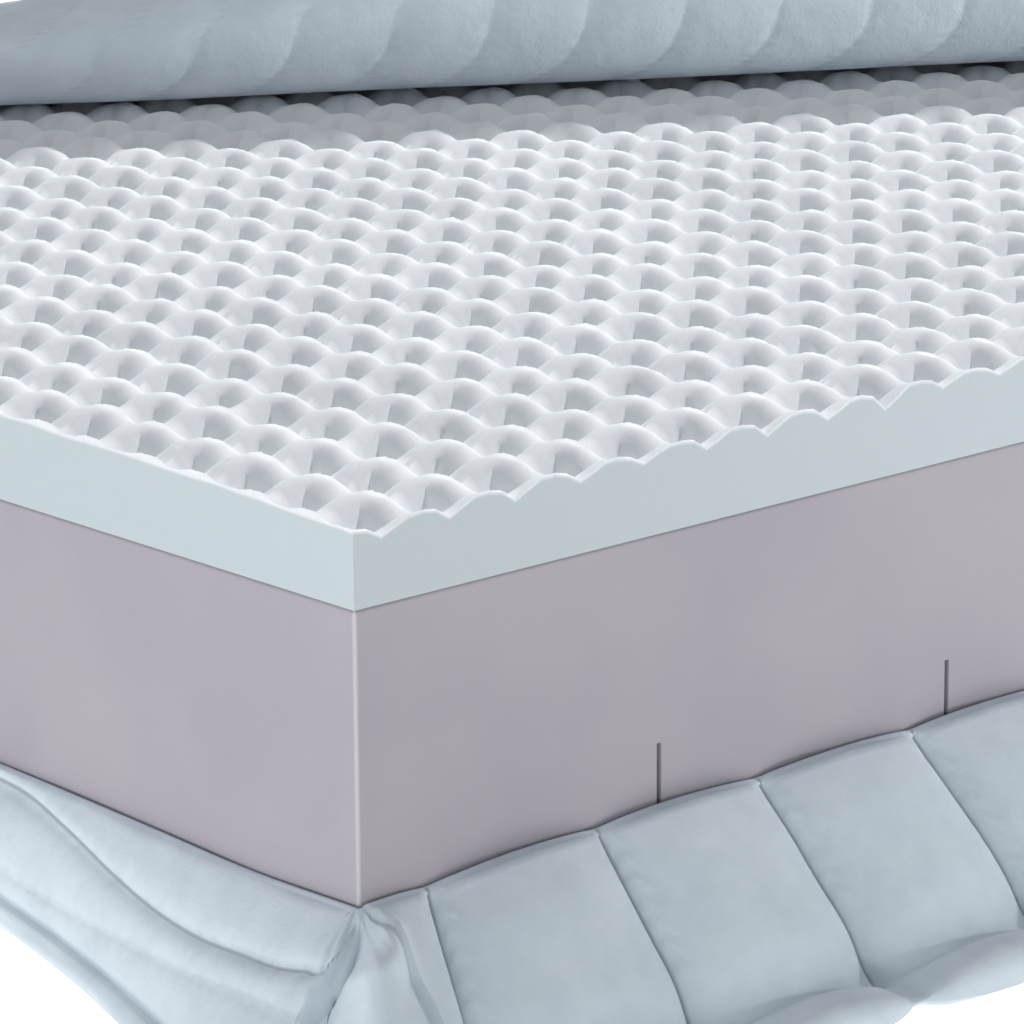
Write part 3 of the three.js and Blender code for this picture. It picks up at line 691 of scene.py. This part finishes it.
# fitted top cover, in millimetres, its places measured from the near corner at the foot
lid = {
    "cloth": 9,
    "sideGap": 0.6,
    "seat": 0.3,
    "edgeRadius": 14,
    "borderBottom": 75,
    "channel": 44,
    "firstSeam": 136,
    "crown": 2.0,
    "seam": 2.0,
    "columnPlaces": (0, 3, 8, 15, 22, 29, 36, 41),  # across one channel
    "topSamples": 60,
    "borderSamples": 9,
    "headSeams": 3.5,  # channels down the head border
    "headSamples": 29,
    "turnSamples": 6,  # over a rounded edge
    "rumple": 0.6,
    "rollStart": (90, 900),
    "rollEnd": (1649, 0),
    "cutBehind": 28,
    "nearOpening": (1725, 1850),  # from the foot, at the panel and at the free edge
    "farOpening": (136, 320),
}
roll = {
    "lead": 60,  # the roll begins this far before its start
    # share of the roll's length, height, breadth
    "sections": [(0, 22, 56), (0.12, 32, 78), (0.22, 46, 100), (0.25, 55, 116), (0.3, 74, 140), (0.36, 90, 152),
                 (0.78, 90, 152), (0.94, 74, 135), (1, 46, 100)],
    "tallest": 90,
    "squareness": 0.75,
    "underSquareness": 0.42,  # its underside lies flatter
    "around": 56,
    "stationShares": (0, 0.03, 0.08, 0.16, 0.3, 0.5, 0.7, 0.84, 0.92, 0.97),  # of one channel
    "seamSlant": 0.48,
    "girth": 484,
    "slantFade": 300,
    "crown": 0.6,
    "seam": 0.5,
    "seamFade": 3,  # sewn lines show less on the brushed back, by this distance
    "rumple": (1.2, 70),  # height, size
    "endRings": 26,
    "endTurns": 2.6,  # of cloth seen on the ends
    "endGroove": 5,
    "forward": 20,
    # place along the roll, how far its front line comes forward besides
    "frontLine": [(0, 0), (390, -5), (470, 5), (580, 11), (750, 19), (870, 18), (1060, 17), (1360, 2), (1860, 0)],
}


# inside and outside of the fitted cover across the mattress: near border, rounded edge, panel, and back down
def lidSection(s):
    side, top = width / 2 + s["sideGap"], foamTop + s["seat"]
    turn = np.linspace(0, np.pi / 2, s["turnSamples"])[1:-1]
    def half(radius, gap):
        z = np.linspace(s["borderBottom"], top + gap - radius, s["borderSamples"])
        arcY = side + gap - radius + radius * np.cos(turn)
        arcZ = top + gap - radius + radius * np.sin(turn)
        y = np.concatenate([np.full(len(z), side + gap), arcY])
        return y, np.concatenate([z, arcZ]), side + gap - radius, top + gap
    made = []
    for radius, gap in ((0.8, 0.0), (s["edgeRadius"], s["cloth"])):
        y, z, reach, high = half(radius, gap)
        across = np.linspace(-reach, reach, s["topSamples"])
        level = np.full(len(across), high)
        made.append(np.stack([np.concatenate([-y, across, y[::-1]]), np.concatenate([z, level, z[::-1]])], -1))
    inside, outside = made
    border, panel = np.zeros(s["borderSamples"]), np.full(s["topSamples"], np.pi / 2)
    angle = np.concatenate([border, turn, panel, np.pi - turn[::-1], border + np.pi])
    normal = np.stack([-np.cos(angle), np.sin(angle)], -1)
    run = np.concatenate([[0], np.cumsum(np.linalg.norm(np.diff(outside, axis=0), axis=1))])
    return inside, outside, normal, run


# sheet laid over the foam column by column, each column clipped where the corner is cut away, then
# rounded over the head and brought down to its border; channels run across, and level at the head
def fittedCover(s):
    inside, outside, normal, run = lidSection(s)
    nearTop = np.interp(-width / 2, outside[:, 0], run)
    farTop = np.interp(width / 2, outside[:, 0], run)
    start, end = np.array(s["rollStart"], float), np.array(s["rollEnd"], float)
    along = (end - start) / np.linalg.norm(end - start)
    cut = start + s["cutBehind"] * np.array([-along[1], along[0]])
    first = cut[0] + (width - cut[1]) * along[0] / along[1] + 2
    channels = np.arange(int(length / s["channel"]))[:, None] * s["channel"]
    place = (s["firstSeam"] + channels + np.array(s["columnPlaces"])).ravel()
    place = place[(place > first) & (place < length - s["edgeRadius"])]
    cutY = cut[1] + (place - cut[0]) * along[1] / along[0]
    topLow, topHigh = s["nearOpening"]
    low = np.where(place < topLow, nearTop + np.clip(cutY, 0, width), np.interp(place, [topLow, topHigh], [nearTop, 0]))
    high = np.interp(place, s["farOpening"], [farTop, run[-1]])
    clipped = np.clip(run[None, :], low[:, None], np.maximum(high, low + 1)[:, None])
    read = lambda values: np.stack([np.interp(clipped, run, values[:, k]) for k in (0, 1)], -1)
    inner, outer, away = read(inside), read(outside), read(normal)
    phase = ((place - s["firstSeam"]) / s["channel"]) % 1.0
    puff = (s["crown"] + s["seam"]) * pillow(phase, s["channel"])[:, None] - s["seam"]
    puff = puff * np.ones(len(run)) + s["rumple"] * softNoise(21, place[:, None] / 35, clipped / 60)
    puff *= easedStep(0, 6, clipped) * (1 - easedStep(run[-1] - 6, run[-1], clipped))
    outer = outer + away * puff[..., None]
    atX = np.broadcast_to(place[:, None] - length / 2, clipped.shape)
    outerGrid = np.concatenate([atX[..., None], outer], -1)
    innerGrid = np.concatenate([atX[..., None], inner], -1)
    # head: rings of the section drawn in towards its foot, first over the rounded edge, then down the border
    radius, cloth, downs = s["edgeRadius"], s["cloth"], s["headSamples"]
    face = length / 2 + s["sideGap"]
    turns = np.linspace(0, np.pi / 2, s["turnSamples"])
    tall = outside[:, 1].max() - s["borderBottom"]
    draws = np.concatenate([radius * (1 - np.cos(turns)), np.linspace(radius, tall, downs + 1)[1:]])
    forward = np.concatenate([face + cloth - radius + radius * np.sin(turns), np.full(downs, face + cloth)])
    lean = np.concatenate([np.sin(turns), np.ones(downs)])
    low, top = s["borderBottom"], outside[:, 1].max()
    def drawn(section, by):
        wide = np.abs(section[:, 0]).max()
        high = section[:, 1].max()
        y = np.clip(section[None, :, 0], -(wide - by[:, None]), wide - by[:, None])
        z = np.minimum(section[None, :, 1], (high - by)[:, None])
        return y, np.maximum(z, low)
    y, z = drawn(outside, draws)
    spacing = (top - low) / s["headSeams"]
    level = ((top - z) / spacing) % 1.0
    headPuff = (s["crown"] + s["seam"]) * pillow(level, spacing) - s["seam"]
    headPuff = headPuff + s["rumple"] * softNoise(22, y / 60, z / 20)
    headSeam = np.where(lean[:, None] > 0.5, np.minimum(level, 1 - level) * spacing, 40)
    fromSeam = np.minimum(phase, 1 - phase)[:, None] * s["channel"] + 0 * clipped
    fromSeam = np.concatenate([fromSeam, headSeam])
    alongSeam = np.concatenate([clipped, y])
    x = forward[:, None] + headPuff * lean[:, None] * easedStep(low, low + 6, z)
    headOuter = np.stack([x, y, z], -1)
    innerDraws = np.concatenate([np.zeros(len(turns)), np.linspace(0, inside[:, 1].max() - low, downs + 1)[1:]])
    y, z = drawn(inside, innerDraws)
    innerX = np.concatenate([np.linspace(place[-1] - length / 2 + 2, face, len(turns)), np.full(downs, face)])
    headInner = np.stack([np.broadcast_to(innerX[:, None], y.shape), y, z], -1)
    outerGrid = np.concatenate([outerGrid, headOuter])
    innerGrid = np.concatenate([innerGrid, headInner])
    rows, columns = outerGrid.shape[:2]
    outerNumber = np.arange(rows * columns).reshape(rows, columns)
    innerNumber = outerNumber + rows * columns
    border = lambda n: np.concatenate([n[:-1, 0], n[-1, :-1], n[:0:-1, -1], n[0, :0:-1], n[:1, 0]])
    quads = np.concatenate([
        gridQuads(rows, columns),
        gridQuads(rows, columns, rows * columns)[:, ::-1],
        stripQuads(border(outerNumber), border(innerNumber)),
    ])
    points = np.concatenate([outerGrid.reshape(-1, 3), innerGrid.reshape(-1, 3)])
    return points, quads.tolist(), np.stack([[fromSeam, fromSeam + 40], [alongSeam, alongSeam]]).reshape(2, -1)


# flattened roll: rings of a boxy oval slid along the front line as they go round, so that seams run
# slantwise; closed at each end by rings drawn in along a spiral groove
def woundRoll(s, r):
    start, end = np.array(s["rollStart"], float), np.array(s["rollEnd"], float)
    total = np.linalg.norm(end - start) + r["lead"]
    along = (end - start) / np.linalg.norm(end - start)
    behind = np.array([-along[1], along[0]])
    channel = s["channel"] / along[0]
    stations = (channel * (np.arange(int(total / channel) + 1)[:, None] + np.array(r["stationShares"]))).ravel()
    stations = np.append(stations[stations < total - 2], total)
    phase = ((stations / channel) % 1.0)[:, None]
    around = np.arange(r["around"])[None, :] / r["around"]
    turn = 2 * np.pi * around - np.pi / 3
    wound = np.where(around < 2 / 3, around, 2 * (1 - around)) * r["girth"]
    ends = easedStep(0, r["slantFade"], np.minimum(stations, total - stations))[:, None]
    place = stations[:, None] + r["seamSlant"] * wound * ends
    tall, broad = (smoothTable(r["sections"], place / total, column) for column in (1, 2))
    tall = np.minimum(tall, r["tallest"])
    square = np.where(np.sin(turn) < 0, r["underSquareness"], r["squareness"])
    power = lambda value: np.sign(value) * np.abs(value) ** square
    puff = (r["crown"] + r["seam"]) * pillow(phase, channel) - r["seam"]
    much, size = r["rumple"]
    puff = (puff + much * softNoise(31, place / size, around * 9)) * ends**2
    forward = smoothTable(r["frontLine"], place) + r["forward"] * np.minimum(1, 3 * ends)
    depth = broad / 2 * (1 - power(np.cos(turn))) - puff * np.cos(turn) - forward
    rise = tall / 2 * (1 + power(np.sin(turn))) + puff * np.maximum(np.sin(turn), 0)
    origin = start - r["lead"] * along - np.array([length, width]) / 2
    x = origin[0] + place * along[0] + depth * behind[0]
    y = origin[1] + place * along[1] + depth * behind[1]
    outermost = width / 2 + s["sideGap"] + s["cloth"]
    y = np.clip(y, -outermost, outermost)
    z = foamTop + s["seat"] + np.maximum(rise, 0)
    tube = np.stack([x, y, z], -1)
    # ends: rings drawn towards the middle, stepped in and out as the turns of cloth lie
    def cap(ring, outwards):
        middle = ring.mean(0)
        shares = np.linspace(1, 0.04, r["endRings"])[1:]
        turns = shares[:, None] * r["endTurns"] + np.arange(len(ring))[None, :] / len(ring)
        groove = r["endGroove"] * (np.abs(np.sin(np.pi * turns)) ** 0.6 - 1) * easedStep(1, 0.9, shares)[:, None]
        made = middle + (ring - middle)[None] * shares[:, None, None]
        made[..., :2] += outwards * groove[..., None]
        return made
    caps = cap(tube[0], -along)[::-1], cap(tube[-1], along)
    tube = np.concatenate([caps[0], tube, caps[1]])
    plain = np.full(caps[0].shape[:2], 40.0)
    fromSeam = np.minimum(phase, 1 - phase) * s["channel"] + r["seamFade"] + 0 * place
    fromSeam = np.concatenate([plain, fromSeam, plain])
    alongSeam = np.concatenate([plain, wound + 0 * place, plain])
    rows, columns = tube.shape[:2]
    number = np.arange(rows * columns).reshape(rows, columns)
    faces = gridQuads(rows, columns, closed=True).tolist() + [number[0, ::-1].tolist(), number[-1].tolist()]
    return tube.reshape(-1, 3), faces, np.stack([fromSeam, alongSeam]).reshape(2, -1)


# sheet and roll as one piece, the faces of both turned round so that they point outwards
def topCover(s, r):
    fitted, fittedFaces, fittedSeams = fittedCover(s)
    wound, woundFaces, woundSeams = woundRoll(s, r)
    faces = [face[::-1] for face in fittedFaces] + [[n + len(fitted) for n in face[::-1]] for face in woundFaces]
    seams = np.concatenate([fittedSeams, woundSeams], 1)
    values = {"seamDistance": seams[0], "alongSeam": seams[1]}
    points = np.concatenate([fitted, wound])
    return makePiece("topCover", points, faces, quiltedCloth, values, merge=0.02, turnOut=False)


dress(topCover(lid, roll), "top_cover")


# light and camera, in metres
studio = {
    "floor": (0.35, 0.35, 0.35),
    "floorHalf": 40,
    "floorGlow": 0.86,
    "sky": (0.93, 0.96, 1.0),
    "skyStrength": 0.53,
    "nearSky": (0.5, 0.515, 0.55),  # dimmer half of the sky on the near side
    "skyTurn": (-0.8, 0.1),  # from the one to the other
    # broad spots whose straight edges lie along a line: way to the lamp, its distance, the line, a lit point, watts
    "spots": [((0.67, 0.0, 0.742), 10, ((-0.682, 0.195, 0.226), (-0.237, -0.072, 0.226)), (-0.9, -0.4, 0.226), 3200),
              ((0.3, 0.5, 0.8), 10, ((-0.872, 0.516, 0.32), (0.687, -0.384, 0.32)), (0.9, 0.4, 0.226), 2200)],
    "spotHalf": 75,  # degrees
    "spotBlend": 0.0015,
    "spotRadius": 0.01,
    # low strip of light before the foot: middle, point faced, length, height, watts
    "strip": ((-2.4, -0.6, 0.1), (-1.0, -0.2, 0.08), 3.0, 0.12, 10.5),
    # low soft spot along the near side: point lit, way to the lamp, its distance, half angle, watts, radius
    "sideSpot": ((0.25, -0.45, 0.1), (0.8, -0.6, 0.0), 6, 7.0, 2300, 0.3),
    # pieces that a spot passes over
    "lee": {"spot0": ("lowerCover",)},
    "lens": 183.85,
    "place": (-2.19136, -1.86659, 0.7309),
    "right": (0.74332, -0.66890, -0.00704),
    "down": (-0.18092, -0.19090, -0.96479),
    "forward": (0.64400, 0.71842, -0.26292),
}


# upright placement that looks from one point to another
def aimed(place, target):
    back = np.array(place, float) - np.array(target, float)
    back /= np.linalg.norm(back)
    side = np.cross((0, 0, 1), back)
    side /= np.linalg.norm(side)
    upward = np.cross(back, side)
    turn = Matrix(np.stack([side, upward, back], 1).tolist()).to_4x4()
    return Matrix.Translation(place) @ turn


# glowing floor, sky of two tones, straight-edged spots, low strip, low side spot and camera
def buildStudio(s):
    scene = bpy.context.scene
    floorMaterial, nodes, links, shader = newMaterial("floorPaint", 0.9)
    shader.inputs["Base Color"].default_value = (*s["floor"], 1)
    shader.inputs["Emission Color"].default_value = (1, 1, 1, 1)
    shader.inputs["Emission Strength"].default_value = s["floorGlow"]
    mesh = bpy.data.meshes.new("floor")
    half = s["floorHalf"]
    mesh.from_pydata([(-half, -half, 0), (half, -half, 0), (half, half, 0), (-half, half, 0)], [], [(0, 1, 2, 3)])
    mesh.materials.append(floorMaterial)
    floor = bpy.data.objects.new("floor", mesh)
    scene.collection.objects.link(floor)
    world = bpy.data.worlds.new("studio")
    world.use_nodes = True
    sky = world.node_tree.nodes["Background"]
    nodes, links = world.node_tree.nodes, world.node_tree.links
    parts = nodes.new("ShaderNodeSeparateXYZ")
    links.new(nodes.new("ShaderNodeTexCoord").outputs["Generated"], parts.inputs[0])
    shade = addMix(nodes, links, addRamp(nodes, links, parts.outputs["Y"], *s["skyTurn"]), s["nearSky"], s["sky"])
    links.new(shade, sky.inputs["Color"])
    sky.inputs["Strength"].default_value = s["skyStrength"]
    scene.world = world
    def hang(name, kind, place, target):
        light = bpy.data.lights.new(name, kind)
        holder = bpy.data.objects.new(name, light)
        holder.matrix_world = aimed(place, target)
        holder.visible_camera = False
        scene.collection.objects.link(holder)
        return light
    half = math.radians(s["spotHalf"])
    for number, (toward, far, line, lit, watts) in enumerate(s["spots"]):
        first, last = np.array(line)
        middle = (first + last) / 2
        toward = np.array(toward) / np.linalg.norm(toward)
        dark = np.cross(last - first, toward)
        dark *= -np.sign(dark @ (np.array(lit) - middle)) / np.linalg.norm(dark)
        place = middle + far * toward
        spot = hang(f"spot{number}", "SPOT", place, place - math.cos(half) * toward - math.sin(half) * dark)
        spot.energy, spot.spot_size = watts, 2 * half
        spot.spot_blend, spot.shadow_soft_size = s["spotBlend"], s["spotRadius"]
    place, target, wide, high, watts = s["strip"]
    strip = hang("strip", "AREA", place, target)
    strip.shape, strip.size, strip.size_y, strip.energy = "RECTANGLE", wide, high, watts
    target, toward, far, half, watts, radius = s["sideSpot"]
    place = np.array(target) + far * np.array(toward) / np.linalg.norm(toward)
    side = hang("sideSpot", "SPOT", place, target)
    side.energy, side.spot_size = watts, 2 * math.radians(half)
    side.spot_blend, side.shadow_soft_size = 1.0, radius
    # pieces that lie in the lee of a spot
    for name, pieces in s["lee"].items():
        lee = bpy.data.collections.new(name + "Lee")
        for piece in pieces:
            lee.objects.link(bpy.data.objects[piece])
        bpy.data.objects[name].light_linking.receiver_collection = lee
        for held in lee.collection_objects:
            held.light_linking.link_state = "EXCLUDE"
    lens = bpy.data.cameras.new("camera")
    lens.lens = s["lens"]
    lens.sensor_width = 36
    lens.clip_end = 200
    camera = bpy.data.objects.new("camera", lens)
    axes = np.stack([s["right"], -np.array(s["down"]), -np.array(s["forward"])], 1)
    camera.matrix_world = Matrix.Translation(s["place"]) @ Matrix(axes.tolist()).to_4x4()
    scene.collection.objects.link(camera)
    scene.camera = camera
    scene.view_settings.view_transform = "Standard"


buildStudio(studio)
print("studio ready")
